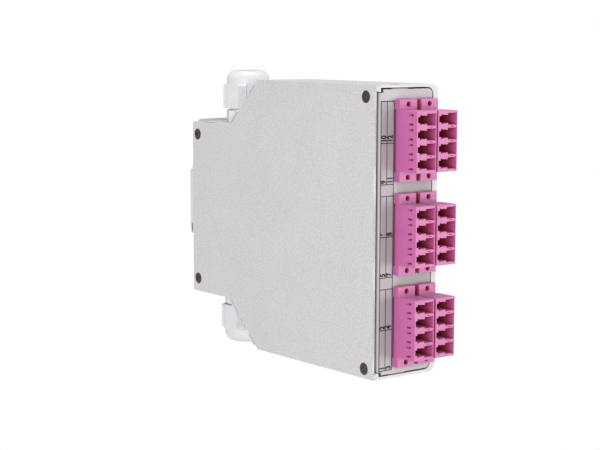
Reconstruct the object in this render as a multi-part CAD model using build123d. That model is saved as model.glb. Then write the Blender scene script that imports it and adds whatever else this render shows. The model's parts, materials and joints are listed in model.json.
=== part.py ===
from build123d import *
import os
from math import cos, hypot, radians

# Fibre splice box for a 35 mm rail, in millimetres.
# Origin: centre of the rail's seat, on the rail's front plane. +X to the right as seen from the front,
# +Y to the rear (into the rail), +Z up. The front panel faces -Y and the side cover faces -X.

# Box
BOX_WIDTH = 35.0
BOX_HEIGHT = 126.0
BOX_DEPTH = 137.2
REAR_HEIGHT = 83.2
BOX_CENTRE_Z = -3.8
STEP_LENGTH = 28.9
CHAMFER_RUN = 22.0
SHEET = 1.25
EDGE_BEND = 3.5
RETURN_BEND = 1.5
CHAMFER_BEND = 4.2
STEP_BEND = 2.5
RETURN_WIDTH = 8.0
REAR_RETURN_WIDTH = 9.5
REAR_RETURN_GAP = 1.0
RETURN_CORNER = 1.7
RETURN_CORNER_LENGTH = 3.6
RETURN_CLEARANCE = 0.4
RETURN_SETBACK = 1.5
LIP_HEIGHT = 1.2
LIP_INSET = 3.0
CHAMFER_TAB_TOP = 8.0
CHAMFER_TAB_STEP = 10.0
TAB_START = 1.8
TAB_BACK = 0.15
WALL_BACK = 1.3
LIP_ROUND = 1.1
STEP_SLOT = (11.0, 3.2)
STEP_SLOT_FROM_BACK = 5.0
STEP_SLOT_REACH = 4.0
PAST = 1.0

# Side cover
COVER_GAP = 0.5
COVER_CORNER = 1.0
COVER_SETBACK = 1.2
COVER_END = 2.6
REAR_SCREW_FROM_BACK = 4.0
REAR_SCREW_TOP_INSET = 6.0
REAR_SCREW_BOTTOM_INSET = 6.3
FRONT_SCREW_FROM_FRONT = 6.8
FRONT_SCREW_TOP_INSET = 5.1
FRONT_SCREW_BOTTOM_INSET = 4.2

# M3 screws and clinch nuts
SCREW_SHANK = 1.45
SCREW_HEAD = 2.65
SCREW_RIM = 0.1
SCREW_LENGTH = 5.6
RECESS_WIDTH = 0.62
RECESS_SPAN = 3.1
RECESS_DEPTH = 0.95
SINK_CLEARANCE = 0.05
NUT_RADIUS = 2.6
NUT_HEIGHT = 2.4
NUT_COLLAR = 2.1
THREAD_HOLE = 1.5

# Front panel
PANEL_GAP = 0.7
PANEL_RIGHT_GAP = 2.1
PANEL_SIDE_GAP = 0.7
PANEL_BEND = 0.9
TAB_BEND = 1.2
PANEL_CORNER = 2.4
PANEL_FLANGE_DEPTH = 14.0
PANEL_RELIEF = (0.7, 1.3)
PANEL_TAB_X = (-8.5, 0.0)
PANEL_TAB_DEPTH = 9.5
PANEL_SCREW_X = -4.2
PANEL_SCREW_FROM_FRONT = 4.2

# Label strip
LABEL_GAP = 1.0
LABEL_WIDTH = 7.5
LABEL_BLOCK = 35.0
LABEL_DROP = 1.55
LABEL_THICKNESS = 0.15

# LC quad adapters
ROW_PITCH = 40.0
ROW_DROP = 0.8
COLUMN_FROM_RIGHT = 12.05
COLUMN_PITCH = 12.0
FLANGE_WIDTH = 9.6
FLANGE_HEIGHT = 35.0
FLANGE_THICKNESS = 2.7
EAR_HOLE = 1.2
EAR_HOLE_FROM_END = 2.0
BLOCK_WIDTH = 11.0
BLOCK_HEIGHT = 25.9
BLOCK_FRONT = 13.4
REAR_BLOCK_WIDTH = 10.5
REAR_BLOCK_INSET = 0.2
REAR_BLOCK_LENGTH = 14.3
REAR_BLOCK_SHRINK = 0.1
CUTOUT_CLEARANCE = 0.15
CUTOUT_LEFT = 0.6
PORT_PITCH = 6.25
PORT_COUNT = 4
PORT_DEPTH = 12.3
PORT_RIGHT = 10.6
REAR_PORT_RIGHT = 10.25
PORT_CORNER_LEFT = 9.9
PORT_CORNER_HALF = 2.7
PORT_BODY_LEFT = 5.6
PORT_BODY_HALF = 2.5
PORT_STEP_LEFT = 4.8
PORT_STEP_HALF = 1.7
LATCH_LEFT = 2.4
LATCH_HALF = 1.85
LATCH_NOTCH_LEFT = 1.6
LATCH_NOTCH_HALF = 2.1
LATCH_MOUTH_LEFT = 0.5
LATCH_MOUTH_HALF = 1.25
PLUG_AXIS = 8.0
WINDOW_SIZE = (2.7, 0.9)
WINDOW_DEPTH = 1.7
WINDOW_FROM_FRONT = 3.7
WINDOW_SPACING = 3.9
GROOVE = (6.9, 8.8, 0.35, 0.5)
SLEEVE_LENGTH = 6.8
SLEEVE_OUTER = 0.82
SLEEVE_BORE = 0.63
SLEEVE_SLIT = 0.2
HOLDER_RADIUS = 1.45
HOLDER_BORE = 0.86
HOLDER_LIP_BORE = 0.72
HOLDER_LIP = 0.45

# Adapter clips
CLIP_THICKNESS = 0.3
CLIP_WIDTH = 6.0
CLIP_FROM_PANEL = 2.2
CLIP_SHORT = 0.5
TONGUE_RISE = 1.1
TONGUE_ROOT = 1.0
TONGUE_X = (3.0, 7.0)

# Cable glands, M16
GLAND_FROM_RIGHT = 14.5
GLAND_TOP_FROM_BACK = 17.7
GLAND_BOTTOM_FROM_BACK = 15.7
GLAND_HEX = 20.0
GLAND_HEX_HEIGHT = 5.8
GLAND_HEX_ROUND = 11.5
GLAND_HEX_CHAMFER = 0.7
THREAD_CHAMFER = 0.6
GLAND_THREAD = 7.95
GLAND_STUB = 10.0
GLAND_BORE = 5.75
CAP_HEX = 20.9
CAP_RIB_RADIUS = 12.1
CAP_RIB_HALF = 2.0
CAP_RIM_CHAMFER = 0.4
CAP_BOTTOM = 6.7
CAP_SHOULDER = 18.6
CAP_SHOULDER_ROUND = ((0.0, 1.7), (0.25, 0.8), (0.8, 0.25), (1.7, 0.0))
CAP_TOP = 25.0
CAP_DOME = 10.35
CAP_DOME_ROUND = 4.4
CAP_OPENING = 5.4
CAP_THREAD = 8.95
CAP_THREAD_TOP = 14.0
CAP_SEAT = 20.2
CAP_SEAT_RADIUS = 8.3
CAP_ANGLE = 39.7
RIB_GROOVES = (-7.2, -3.6, 0.0, 3.6, 7.2)
RIB_GROOVE_DEPTH = 0.3
SPIGOT = 8.85
SPIGOT_TOP = 12.5
CLAW_OUTER = 8.3
CLAW_TIP = 7.5
CLAW_INNER = 6.75
CLAW_TOP = 18.2
CLAW_COUNT = 8
CLAW_SLOT = 1.1
CLAW_ROOT = 13.0
SEAL_OUTER = 6.7
SEAL_BORE = 5.0
SEAL_FLOOR = 8.0
SEAL_TOP = 18.2
RING_OUTER = 8.1
RING_BORE = 5.7
RING_HEIGHT = 1.0
SEAL_EDGE = 0.5
LOCK_NUT_HEX = 22.0
LOCK_NUT_HEIGHT = 5.0
LOCK_NUT_BORE = 8.0
WALL_HOLE = 8.1

# Rail foot and latch
RAIL_GAP = 2.5
RAIL_HALF = 17.5
RAIL_FLANGE = 1.0
FOOT_TOP = 14.2
FOOT_BOTTOM = -17.2
FOOT_SEAT_GAP = 0.3
SHOULDER_TOP = 16.4
SHOULDER_INSET = 1.2
SHOULDER_CLEARANCE = 0.2
HOOK_INNER = 6.0
HOOK_OUTER = 12.0
HOOK_TOP = 19.4
HOOK_CLEARANCE = 0.15
HOOK_THICKNESS = 1.75
HOOK_TIP = 15.4
HOOK_EDGE = 0.8
HOOK_TIP_EDGE = 0.6
SIDE_SLOT = (8.5, 0.8, 5.0)
SIDE_SLOT_FROM_RAIL = 0.95
BOSS_TO_SCREW = 3.3
BOSS_HALF_HEIGHT = 11.5
BOSS_DEPTH = 3.4
BOSS_EDGE = 1.0
FOOT_CORNER = 0.6
LATCH_THICKNESS = 1.5
LATCH_PLAY = 0.1
LATCH_END_GAP = 0.3
LATCH_POCKET_GAP = 0.2
LATCH_TO_SCREW = 4.8
LATCH_TOP = 10.0
LATCH_BAR = 1.5
LATCH_TONGUE_HALF = 4.5
LATCH_END = -43.0
LATCH_ARM_HALF = 11.0
LATCH_ARM_BOTTOM = -24.0
NOSE_INNER = 7.0
NOSE_TOP = -17.7
NOSE_THICKNESS = 1.5
NOSE_CLEARANCE = 0.2
NOSE_TIP = -15.3
NOSE_LEAD = 0.9
NOSE_EDGE = 0.6
TONGUE_CORNER = 1.5
DRIVER_SLOT = (6.0, 2.5)
DRIVER_SLOT_FROM_END = 2.8
SPRING_RADIUS = 2.0
SPRING_WIRE = 0.28
SPRING_TURNS = 7
SPRING_SEAT = -9.0
SPRING_POCKET_HALF = 3.2
SPRING_POCKET_WALL = 1.0
SPRING_PUSHER_GAP = 0.4
FOOT_SCREW_FROM_SIDE = 6.2

# Splice tray
TRAY_BASE = 1.5
TRAY_DEPTH = 7.5
TRAY_WALL = 1.2
TRAY_HEIGHT = 60.0
TRAY_FROM_BACK = 25.5
TRAY_ADAPTER_GAP = 9.4
TRAY_CORNER = 20.0
TRAY_PORT = 12.0
CORE_RADIUS = 8.0
CORE_WALL = 1.2
CORE_FROM_END = 17.0
LID_THICKNESS = 1.0
LID_GAP = 0.5
PILLAR_RADIUS = 3.0
PILLAR_INSET = (8.0, 10.0)
PAN_HEAD = (2.7, 1.8)
PAN_SCREW_LENGTH = 7.5
COMB_CORE_GAP = 4.0
COMB_RIBS = 6
COMB_PITCH = 4.0
COMB_RIB = 1.0
COMB_HEIGHT = 4.5
COMB_BASE = 1.0
COMB_SPACING = 24.0

# Cable bracket
BRACKET_HALF_WIDTH = 5.4
BRACKET_THICKNESS = 1.5
BRACKET_HEIGHT = 52.0
LEDGE_DEPTH = 9.0
TIE_SLOT = (3.0, 3.5)
TIE_SLOT_FROM_EDGE = 4.0
TIE_SLOT_SPACING = 8.0

# Faces worked out from the sizes above
LEFT = -BOX_WIDTH / 2
RIGHT = BOX_WIDTH / 2
BACK = -RAIL_GAP
FRONT = BACK - BOX_DEPTH
TOP = BOX_CENTRE_Z + BOX_HEIGHT / 2
BOTTOM = BOX_CENTRE_Z - BOX_HEIGHT / 2
STEP_TOP = BOX_CENTRE_Z + REAR_HEIGHT / 2
STEP_BOTTOM = BOX_CENTRE_Z - REAR_HEIGHT / 2
CHAMFER_RISE = TOP - STEP_TOP
CHAMFER_LENGTH = hypot(CHAMFER_RUN, CHAMFER_RISE)
COVER_INNER = LEFT + SHEET
RETURN_INNER = COVER_INNER + SHEET
WALL_INNER = RIGHT - SHEET
PANEL_LEFT = COVER_INNER + PANEL_SIDE_GAP
PANEL_RIGHT = WALL_INNER - PANEL_RIGHT_GAP
PANEL_TOP = TOP - SHEET - PANEL_GAP
PANEL_BOTTOM = BOTTOM + SHEET + PANEL_GAP
PANEL_INNER = FRONT + SHEET
ROW_CENTRE_Z = BOX_CENTRE_Z - ROW_DROP
COLUMN_LEFT = RIGHT - COLUMN_FROM_RIGHT - COLUMN_PITCH
GLAND_X = RIGHT - GLAND_FROM_RIGHT
FOOT_SCREW_X = RIGHT - FOOT_SCREW_FROM_SIDE
BOSS_HALF_WIDTH = FOOT_SCREW_X - BOSS_TO_SCREW
LATCH_HALF_WIDTH = FOOT_SCREW_X - LATCH_TO_SCREW
GLAND_TOP_Y = BACK - GLAND_TOP_FROM_BACK
GLAND_BOTTOM_Y = BACK - GLAND_BOTTOM_FROM_BACK
LID_X = RETURN_INNER + LID_GAP
TRAY_RIM_X = LID_X + LID_THICKNESS
TRAY_FACE_X = TRAY_RIM_X + TRAY_DEPTH
TRAY_Y = (FRONT + REAR_BLOCK_LENGTH + TRAY_ADAPTER_GAP, BACK - TRAY_FROM_BACK)
TRAY_Z = (BOX_CENTRE_Z - TRAY_HEIGHT / 2, BOX_CENTRE_Z + TRAY_HEIGHT / 2)
COMB_END = CORE_FROM_END + CORE_RADIUS + COMB_CORE_GAP
COMB_Z = (BOX_CENTRE_Z - COMB_SPACING / 2, BOX_CENTRE_Z + COMB_SPACING / 2)


def block(x0, x1, y0, y1, z0, z1):
    """Box between two corners."""
    return Pos((x0 + x1) / 2, (y0 + y1) / 2, (z0 + z1) / 2) * Box(x1 - x0, y1 - y0, z1 - z0)


def rod_x(x0, x1, y, z, radius):
    """Round bar along X."""
    return Pos((x0 + x1) / 2, y, z) * Rot(0, 90, 0) * Cylinder(radius, x1 - x0)


def rod_y(x, y0, y1, z, radius):
    """Round bar along Y."""
    return Pos(x, (y0 + y1) / 2, z) * Rot(90, 0, 0) * Cylinder(radius, y1 - y0)


def rod_z(x, y, z0, z1, radius):
    """Round bar along Z."""
    return Pos(x, y, (z0 + z1) / 2) * Cylinder(radius, z1 - z0)


def turned(points):
    """Solid of revolution about Z from (radius, height) points."""
    return revolve(make_face(Plane.XZ * Polyline(*points, close=True)), Axis.Z)


def side_profile(points, x0, x1):
    """Prism along X from (y, z) points."""
    return extrude(make_face(Plane.YZ.offset(x0) * Polyline(*points, close=True)), x1 - x0, dir=(1, 0, 0))


def hex_prism(across_flats, z0, z1, angle=0.0):
    """Hexagonal bar along Z, with a corner at the given angle from +X."""
    corner = across_flats / (2 * cos(radians(30)))
    return extrude(Pos(0, 0, z0) * Rot(0, 0, angle) * RegularPolygon(corner, 6), z1 - z0)


def chamfer_y(height_from_step, inset):
    """Y of the upper chamfer line, moved inwards by inset, at a height above the step."""
    start = BACK - STEP_LENGTH - inset * CHAMFER_LENGTH / CHAMFER_RISE
    return start - height_from_step / CHAMFER_RISE * CHAMFER_RUN


def box_outline(inset, chamfer_inset, front):
    """Side outline of the box as (y, z) points, upper half first and then its mirror image."""
    upper = [
        (BACK - inset, STEP_TOP - inset),
        (chamfer_y(-inset, chamfer_inset), STEP_TOP - inset),
        (chamfer_y(CHAMFER_RISE - inset, chamfer_inset), TOP - inset),
        (front, TOP - inset),
    ]
    lower = [(y, 2 * BOX_CENTRE_Z - z) for y, z in reversed(upper)]
    return upper + lower


def outline_prism(points, x0, x1, convex, concave, square=0.0):
    """Prism of a box outline along X, with its chamfer corners and step corners rounded."""
    face = make_face(Plane.YZ.offset(x0) * Polyline(*points, close=True))
    picks = {1: concave, 6: concave, 2: convex, 5: convex, 0: square, 7: square, 3: square, 4: square}
    for index, radius in picks.items():
        if radius > 0:
            y, z = points[index]
            corner = face.vertices().sort_by_distance((x0, y, z))[0]
            face = fillet(corner, radius)
    return extrude(face, x1 - x0, dir=(1, 0, 0))


def rim_edges(solid, x):
    """Edges of a box prism that lie in the plane at x, without the front one."""
    spans = [(edge, edge.bounding_box()) for edge in solid.edges()]
    flat = [edge for edge, span in spans if abs(span.min.X - x) < 1e-4 and span.size.X < 1e-4]
    front = min(e.center().Y for e in flat)
    return [e for e in flat if e.center().Y > front + 0.01]


def sink(depth_sheet):
    """Countersink and through hole for one screw, head upwards at height 0."""
    head = SCREW_HEAD + SINK_CLEARANCE
    cone = head - THREAD_HOLE - SINK_CLEARANCE
    through = THREAD_HOLE + SINK_CLEARANCE
    return turned([(0, PAST), (head, PAST), (head, -SCREW_RIM), (through, -SCREW_RIM - cone),
                   (through, -depth_sheet - PAST), (0, -depth_sheet - PAST)])


def countersunk_screw(length):
    """M3 countersunk screw with a cross recess, head upwards at height 0."""
    cone = SCREW_HEAD - SCREW_SHANK
    body = turned([(0, 0), (SCREW_HEAD, 0), (SCREW_HEAD, -SCREW_RIM), (SCREW_SHANK, -SCREW_RIM - cone),
                   (SCREW_SHANK, -length), (0, -length)])
    for angle in (45, 135):
        bar = Pos(0, 0, PAST - RECESS_DEPTH) * Box(RECESS_SPAN, RECESS_WIDTH, 2 * PAST)
        body -= Rot(0, 0, angle) * bar
    return body


def clinch_nut():
    """Clinch nut: its collar fills the sheet above height 0 and its body hangs below."""
    collar = Cylinder(NUT_COLLAR, SHEET, align=(Align.CENTER, Align.CENTER, Align.MIN))
    body = Cylinder(NUT_RADIUS, NUT_HEIGHT, align=(Align.CENTER, Align.CENTER, Align.MAX))
    return collar + body - Cylinder(THREAD_HOLE, 4 * NUT_HEIGHT)


FACING_LEFT = Rot(0, -90, 0)
FACING_REAR = Rot(-90, 0, 0)
FACING_DOWN = Rot(180, 0, 0)
REAR_SCREWS = [(BACK - REAR_SCREW_FROM_BACK, STEP_TOP - REAR_SCREW_TOP_INSET),
               (BACK - REAR_SCREW_FROM_BACK, STEP_BOTTOM + REAR_SCREW_BOTTOM_INSET)]
FRONT_SCREWS = [(FRONT + FRONT_SCREW_FROM_FRONT, TOP - FRONT_SCREW_TOP_INSET),
                (FRONT + FRONT_SCREW_FROM_FRONT, BOTTOM + FRONT_SCREW_BOTTOM_INSET)]
COVER_SCREWS = REAR_SCREWS + FRONT_SCREWS
PANEL_SCREW_Y = FRONT + PANEL_SCREW_FROM_FRONT
ROWS = [ROW_CENTRE_Z + ROW_PITCH * step for step in (1, 0, -1)]
COLUMNS = [COLUMN_LEFT, COLUMN_LEFT + COLUMN_PITCH]
GLANDS = {"top": Pos(GLAND_X, GLAND_TOP_Y, STEP_TOP),
          "bottom": Pos(GLAND_X, GLAND_BOTTOM_Y, STEP_BOTTOM) * FACING_DOWN}


def chamfer_tab(along0, along1):
    """Tab of the upper chamfer wall, out to the cover's outer plane, between two lengths from the step."""
    corners = []
    for along, inset in ((along0, 0), (along1, 0), (along1, SHEET), (along0, SHEET)):
        height = along / CHAMFER_LENGTH * CHAMFER_RISE
        corners.append((chamfer_y(height, 0) - inset * CHAMFER_RISE / CHAMFER_LENGTH,
                        STEP_TOP + height - inset * CHAMFER_RUN / CHAMFER_LENGTH))
    return side_profile(corners, LEFT + TAB_BACK, RETURN_INNER)


def mirrored(solid):
    """Copy on the other side of the box's centre plane."""
    return mirror(solid, Plane.XY.offset(BOX_CENTRE_Z))


def make_housing():
    """Folded tray: right wall, rim walls, return flanges under the cover, and its holes."""
    shell = outline_prism(box_outline(0, 0, FRONT), COVER_INNER, RIGHT, CHAMFER_BEND, STEP_BEND)
    shell = fillet(rim_edges(shell, RIGHT), EDGE_BEND)
    hollow = outline_prism(box_outline(SHEET, SHEET, FRONT - SHEET), COVER_INNER - SHEET, WALL_INNER,
                           CHAMFER_BEND - SHEET, STEP_BEND + SHEET)
    hollow = fillet(rim_edges(hollow, WALL_INNER), EDGE_BEND - SHEET)
    tray = shell - hollow

    flange_front = FRONT + PANEL_FLANGE_DEPTH + RETURN_SETBACK
    flange_back = chamfer_y(CHAMFER_RISE, 0) - CHAMFER_BEND
    in_wall = TOP - SHEET / 2
    flanges = block(COVER_INNER, RETURN_INNER, flange_front, flange_back, TOP - RETURN_WIDTH, in_wall)
    flanges += block(COVER_INNER, RETURN_INNER, FRONT, FRONT + RETURN_CORNER_LENGTH,
                     TOP - SHEET - RETURN_CORNER, in_wall)
    tray += flanges
    tray += mirrored(flanges)
    tray += block(COVER_INNER, RETURN_INNER, BACK - REAR_RETURN_WIDTH, BACK - SHEET / 2,
                  STEP_BOTTOM + SHEET + REAR_RETURN_GAP, STEP_TOP - SHEET - REAR_RETURN_GAP)
    along = (FRONT - PAST, chamfer_y(CHAMFER_RISE, 0) - CHAMFER_BEND)
    bend = block(COVER_INNER - PAST, COVER_INNER + RETURN_BEND, *along, TOP - RETURN_BEND, TOP + PAST)
    bend -= rod_y(COVER_INNER + RETURN_BEND, *along, TOP - RETURN_BEND, RETURN_BEND)
    tray -= bend
    tray -= mirrored(bend)

    # The step and chamfer walls stop short of the cover, apart from two tabs at each chamfer's ends.
    slot_end = BACK - STEP_SLOT_FROM_BACK
    middle = block(COVER_INNER - PAST, COVER_INNER + STEP_SLOT[1], slot_end - STEP_SLOT[0], slot_end,
                   STEP_TOP - SHEET - STEP_SLOT_REACH, STEP_TOP + STEP_SLOT_REACH)
    low = CHAMFER_RISE * CHAMFER_TAB_STEP / CHAMFER_LENGTH
    high = CHAMFER_RISE * (1 - CHAMFER_TAB_TOP / CHAMFER_LENGTH)
    notch = side_profile([(chamfer_y(low, -2 * SHEET), STEP_TOP + low),
                          (chamfer_y(high, -2 * SHEET), STEP_TOP + high),
                          (chamfer_y(high, 3 * SHEET), STEP_TOP + high),
                          (chamfer_y(low, 3 * SHEET), STEP_TOP + low)],
                         COVER_INNER - PAST, COVER_INNER + WALL_BACK)
    tabs = chamfer_tab(TAB_START, CHAMFER_TAB_STEP)
    tabs += chamfer_tab(CHAMFER_LENGTH - CHAMFER_TAB_TOP, CHAMFER_LENGTH - CHAMFER_BEND / 2)
    lip = block(LEFT + LIP_INSET, RIGHT - LIP_INSET, BACK - SHEET, BACK, STEP_TOP - SHEET,
                STEP_TOP + LIP_HEIGHT)
    lip = fillet(lip.edges().filter_by(Axis.Y).sort_by(Axis.Z)[-2:], LIP_ROUND)
    for solid in (middle, notch):
        tray -= solid
        tray -= mirrored(solid)
    tray += tabs + lip
    tray += mirrored(tabs + lip)

    for y, z in REAR_SCREWS:
        tray -= rod_x(COVER_INNER - PAST, RETURN_INNER + PAST, y, z, NUT_COLLAR)
    for side in (-1, 1):
        tray -= rod_y(side * FOOT_SCREW_X, BACK - SHEET - PAST, BACK + PAST, 0, NUT_COLLAR)
    tray -= rod_z(GLAND_X, GLAND_TOP_Y, STEP_TOP - SHEET - PAST, STEP_TOP + PAST, WALL_HOLE)
    tray -= rod_z(GLAND_X, GLAND_BOTTOM_Y, STEP_BOTTOM - PAST, STEP_BOTTOM + SHEET + PAST, WALL_HOLE)
    tray -= Pos(PANEL_SCREW_X, PANEL_SCREW_Y, TOP) * sink(SHEET)
    tray -= Pos(PANEL_SCREW_X, PANEL_SCREW_Y, BOTTOM) * FACING_DOWN * sink(SHEET)
    return tray


def make_side_cover():
    """Flat cover with the box's outline, four countersinks and a set-back front edge."""
    chamfer_inset = SHEET + COVER_GAP
    cover = outline_prism(box_outline(0, chamfer_inset, FRONT), LEFT, COVER_INNER, COVER_CORNER, COVER_CORNER,
                          COVER_CORNER)
    cover -= block(LEFT - PAST, COVER_INNER + PAST, FRONT - PAST, FRONT + COVER_SETBACK,
                   BOTTOM + COVER_END, TOP - COVER_END)
    for y, z in COVER_SCREWS:
        cover -= Pos(LEFT, y, z) * FACING_LEFT * sink(SHEET)
    return cover


def make_front_panel():
    """Folded panel: face, left flange, two screw tabs and an open notch for each row of adapters."""
    face = block(PANEL_LEFT, PANEL_RIGHT, FRONT, PANEL_INNER, PANEL_BOTTOM, PANEL_TOP)
    right_corners = face.edges().filter_by(Axis.Y).group_by(Axis.X)[-1]
    face = fillet(right_corners, PANEL_CORNER)
    flange = block(PANEL_LEFT, PANEL_LEFT + SHEET, FRONT, FRONT + PANEL_FLANGE_DEPTH, PANEL_BOTTOM, PANEL_TOP)
    panel = face + flange
    bend = [e for e in panel.edges().filter_by(Axis.Z)
            if abs(e.center().X - PANEL_LEFT) < 1e-3 and abs(e.center().Y - FRONT) < 1e-3]
    panel = fillet(bend, PANEL_BEND)
    for level, inward in ((TOP, -1), (BOTTOM, 1)):
        wall = level + inward * SHEET
        tab_low, tab_high = sorted((wall, wall + inward * SHEET))
        tab = block(*PANEL_TAB_X, FRONT, FRONT + PANEL_TAB_DEPTH, tab_low, tab_high)
        outer = [e for e in tab.edges().filter_by(Axis.X)
                 if abs(e.center().Y - FRONT) < 1e-3 and abs(e.center().Z - wall) < 1e-3]
        panel += fillet(outer, TAB_BEND)
        panel -= rod_z(PANEL_SCREW_X, PANEL_SCREW_Y, tab_low - PAST, tab_high + PAST, NUT_COLLAR)
        edge = PANEL_TOP if level == TOP else PANEL_BOTTOM
        corner_z = sorted((edge - inward, wall + inward * (RETURN_CORNER + RETURN_CLEARANCE)))
        panel -= block(PANEL_LEFT - PAST, PANEL_LEFT + SHEET + PANEL_GAP, FRONT - PAST,
                       FRONT + RETURN_CORNER_LENGTH + RETURN_CLEARANCE, *corner_z)
        relief_z = sorted((edge - inward, edge + inward * PANEL_RELIEF[1]))
        panel -= block(PANEL_LEFT - PAST, PANEL_LEFT + SHEET + PANEL_RELIEF[0], FRONT - PAST,
                       PANEL_INNER + PAST, *relief_z)
    half = BLOCK_HEIGHT / 2 - REAR_BLOCK_SHRINK + CLIP_THICKNESS + CUTOUT_CLEARANCE
    for z in ROWS:
        panel -= block(COLUMN_LEFT - CUTOUT_LEFT, PANEL_RIGHT + PAST, FRONT - PAST, PANEL_INNER + PAST,
                       z - half, z + half)
    for y, z in FRONT_SCREWS:
        panel -= rod_x(PANEL_LEFT - PAST, PANEL_LEFT + SHEET + PAST, y, z, NUT_COLLAR)
    return panel


def make_label_strip():
    """Printed strip on the panel, left of the adapters."""
    half = ROW_PITCH + LABEL_BLOCK / 2
    right = COLUMN_LEFT - LABEL_GAP
    centre_z = BOX_CENTRE_Z - LABEL_DROP
    return block(right - LABEL_WIDTH, right, FRONT - LABEL_THICKNESS, FRONT, centre_z - half, centre_z + half)


def make_press_nuts():
    """Clinch nuts in the rear flange, panel flange, panel tabs and rear wall."""
    nuts = [Pos(RETURN_INNER, y, z) * FACING_LEFT * clinch_nut() for y, z in REAR_SCREWS]
    nuts += [Pos(PANEL_LEFT + SHEET, y, z) * FACING_LEFT * clinch_nut() for y, z in FRONT_SCREWS]
    nuts.append(Pos(PANEL_SCREW_X, PANEL_SCREW_Y, TOP - 2 * SHEET) * clinch_nut())
    nuts.append(Pos(PANEL_SCREW_X, PANEL_SCREW_Y, BOTTOM + 2 * SHEET) * FACING_DOWN * clinch_nut())
    nuts += [Pos(side * FOOT_SCREW_X, BACK - SHEET, 0) * FACING_REAR * clinch_nut() for side in (-1, 1)]
    return Compound(children=nuts)


def make_cover_screws():
    """Four countersunk screws, heads flush with the cover."""
    screw = countersunk_screw(SCREW_LENGTH)
    return Compound(children=[Pos(LEFT, y, z) * FACING_LEFT * screw for y, z in COVER_SCREWS])


def make_panel_screws():
    """Screws through the top and bottom walls into the panel's tabs."""
    top = Pos(PANEL_SCREW_X, PANEL_SCREW_Y, TOP) * countersunk_screw(SCREW_LENGTH)
    bottom = Pos(PANEL_SCREW_X, PANEL_SCREW_Y, BOTTOM) * FACING_DOWN * countersunk_screw(SCREW_LENGTH)
    return Compound(children=[top, bottom])


def port_prism(y0, y1, z, right):
    """Space for one LC plug and its latch, as a prism along Y."""
    steps = [(LATCH_MOUTH_LEFT, LATCH_MOUTH_HALF), (LATCH_NOTCH_LEFT, LATCH_NOTCH_HALF),
             (LATCH_LEFT, LATCH_HALF), (PORT_STEP_LEFT, PORT_STEP_HALF), (PORT_BODY_LEFT, PORT_BODY_HALF),
             (PORT_CORNER_LEFT, PORT_CORNER_HALF)]
    ends = [x for x, _ in steps[1:]] + [right]
    outline = [point for (x, half), end in zip(steps, ends) for point in ((x, half), (end, half))]
    points = outline + [(x, -half) for x, half in reversed(outline)]
    face = make_face(Plane.XZ.offset(-y0) * Pos(0, z) * Polyline(*points, close=True))
    return extrude(face, y1 - y0, dir=(0, 1, 0))


def make_adapter():
    """LC quad adapter: left face at X 0, panel's front face at Y 0, centred on Z."""
    half = BLOCK_HEIGHT / 2
    rear_half = half - REAR_BLOCK_SHRINK
    body = block(0, BLOCK_WIDTH, -BLOCK_FRONT, -FLANGE_THICKNESS, -half, half)
    body += block(0, FLANGE_WIDTH, -FLANGE_THICKNESS, 0, -FLANGE_HEIGHT / 2, FLANGE_HEIGHT / 2)
    body += block(REAR_BLOCK_INSET, REAR_BLOCK_INSET + REAR_BLOCK_WIDTH, -FLANGE_THICKNESS, REAR_BLOCK_LENGTH,
                  -rear_half, rear_half)
    for side in (-1, 1):
        ear_z = side * (FLANGE_HEIGHT / 2 - EAR_HOLE_FROM_END)
        body -= rod_y(FLANGE_WIDTH / 2, -FLANGE_THICKNESS - PAST, PAST, ear_z, EAR_HOLE)
    front_floor = PORT_DEPTH - BLOCK_FRONT
    rear_floor = REAR_BLOCK_LENGTH - PORT_DEPTH
    middle = (front_floor + rear_floor) / 2
    holder = SLEEVE_LENGTH / 2 + HOLDER_LIP
    groove_x0, groove_x1, groove_width, groove_depth = GROOVE
    ports = [PORT_PITCH * (i - (PORT_COUNT - 1) / 2) for i in range(PORT_COUNT)]
    for z in ports:
        body -= port_prism(-BLOCK_FRONT - PAST, front_floor, z, PORT_RIGHT)
        body -= port_prism(rear_floor, REAR_BLOCK_LENGTH + PAST, z, REAR_PORT_RIGHT)
        body += rod_y(PLUG_AXIS, middle - holder, middle + holder, z, HOLDER_RADIUS)
        body -= rod_y(PLUG_AXIS, middle - holder - PAST, middle + holder + PAST, z, HOLDER_LIP_BORE)
        body -= rod_y(PLUG_AXIS, middle - SLEEVE_LENGTH / 2, middle + SLEEVE_LENGTH / 2, z, HOLDER_BORE)
        window_y = WINDOW_FROM_FRONT - BLOCK_FRONT
        for side in (-1, 1):
            window_z = z + side * WINDOW_SPACING / 2
            body -= block(-PAST, WINDOW_DEPTH, window_y - WINDOW_SIZE[0] / 2, window_y + WINDOW_SIZE[0] / 2,
                          window_z - WINDOW_SIZE[1] / 2, window_z + WINDOW_SIZE[1] / 2)
    for z in ports[:-1]:
        middle_z = z + PORT_PITCH / 2
        body -= block(groove_x0, groove_x1, -BLOCK_FRONT - PAST, groove_depth - BLOCK_FRONT,
                      middle_z - groove_width / 2, middle_z + groove_width / 2)
    return body


def make_sleeves():
    """Four split ceramic sleeves of one adapter, in the adapter's own frame."""
    front_floor = PORT_DEPTH - BLOCK_FRONT
    rear_floor = REAR_BLOCK_LENGTH - PORT_DEPTH
    middle = (front_floor + rear_floor) / 2
    sleeves = []
    for i in range(PORT_COUNT):
        z = PORT_PITCH * (i - (PORT_COUNT - 1) / 2)
        y0 = middle - SLEEVE_LENGTH / 2
        past = (y0 - PAST, y0 + SLEEVE_LENGTH + PAST)
        sleeve = rod_y(PLUG_AXIS, y0, y0 + SLEEVE_LENGTH, z, SLEEVE_OUTER)
        sleeve -= rod_y(PLUG_AXIS, *past, z, SLEEVE_BORE)
        sleeve -= block(PLUG_AXIS, PLUG_AXIS + 2 * SLEEVE_OUTER, *past,
                        z - SLEEVE_SLIT / 2, z + SLEEVE_SLIT / 2)
        sleeves.append(sleeve)
    return sleeves


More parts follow.
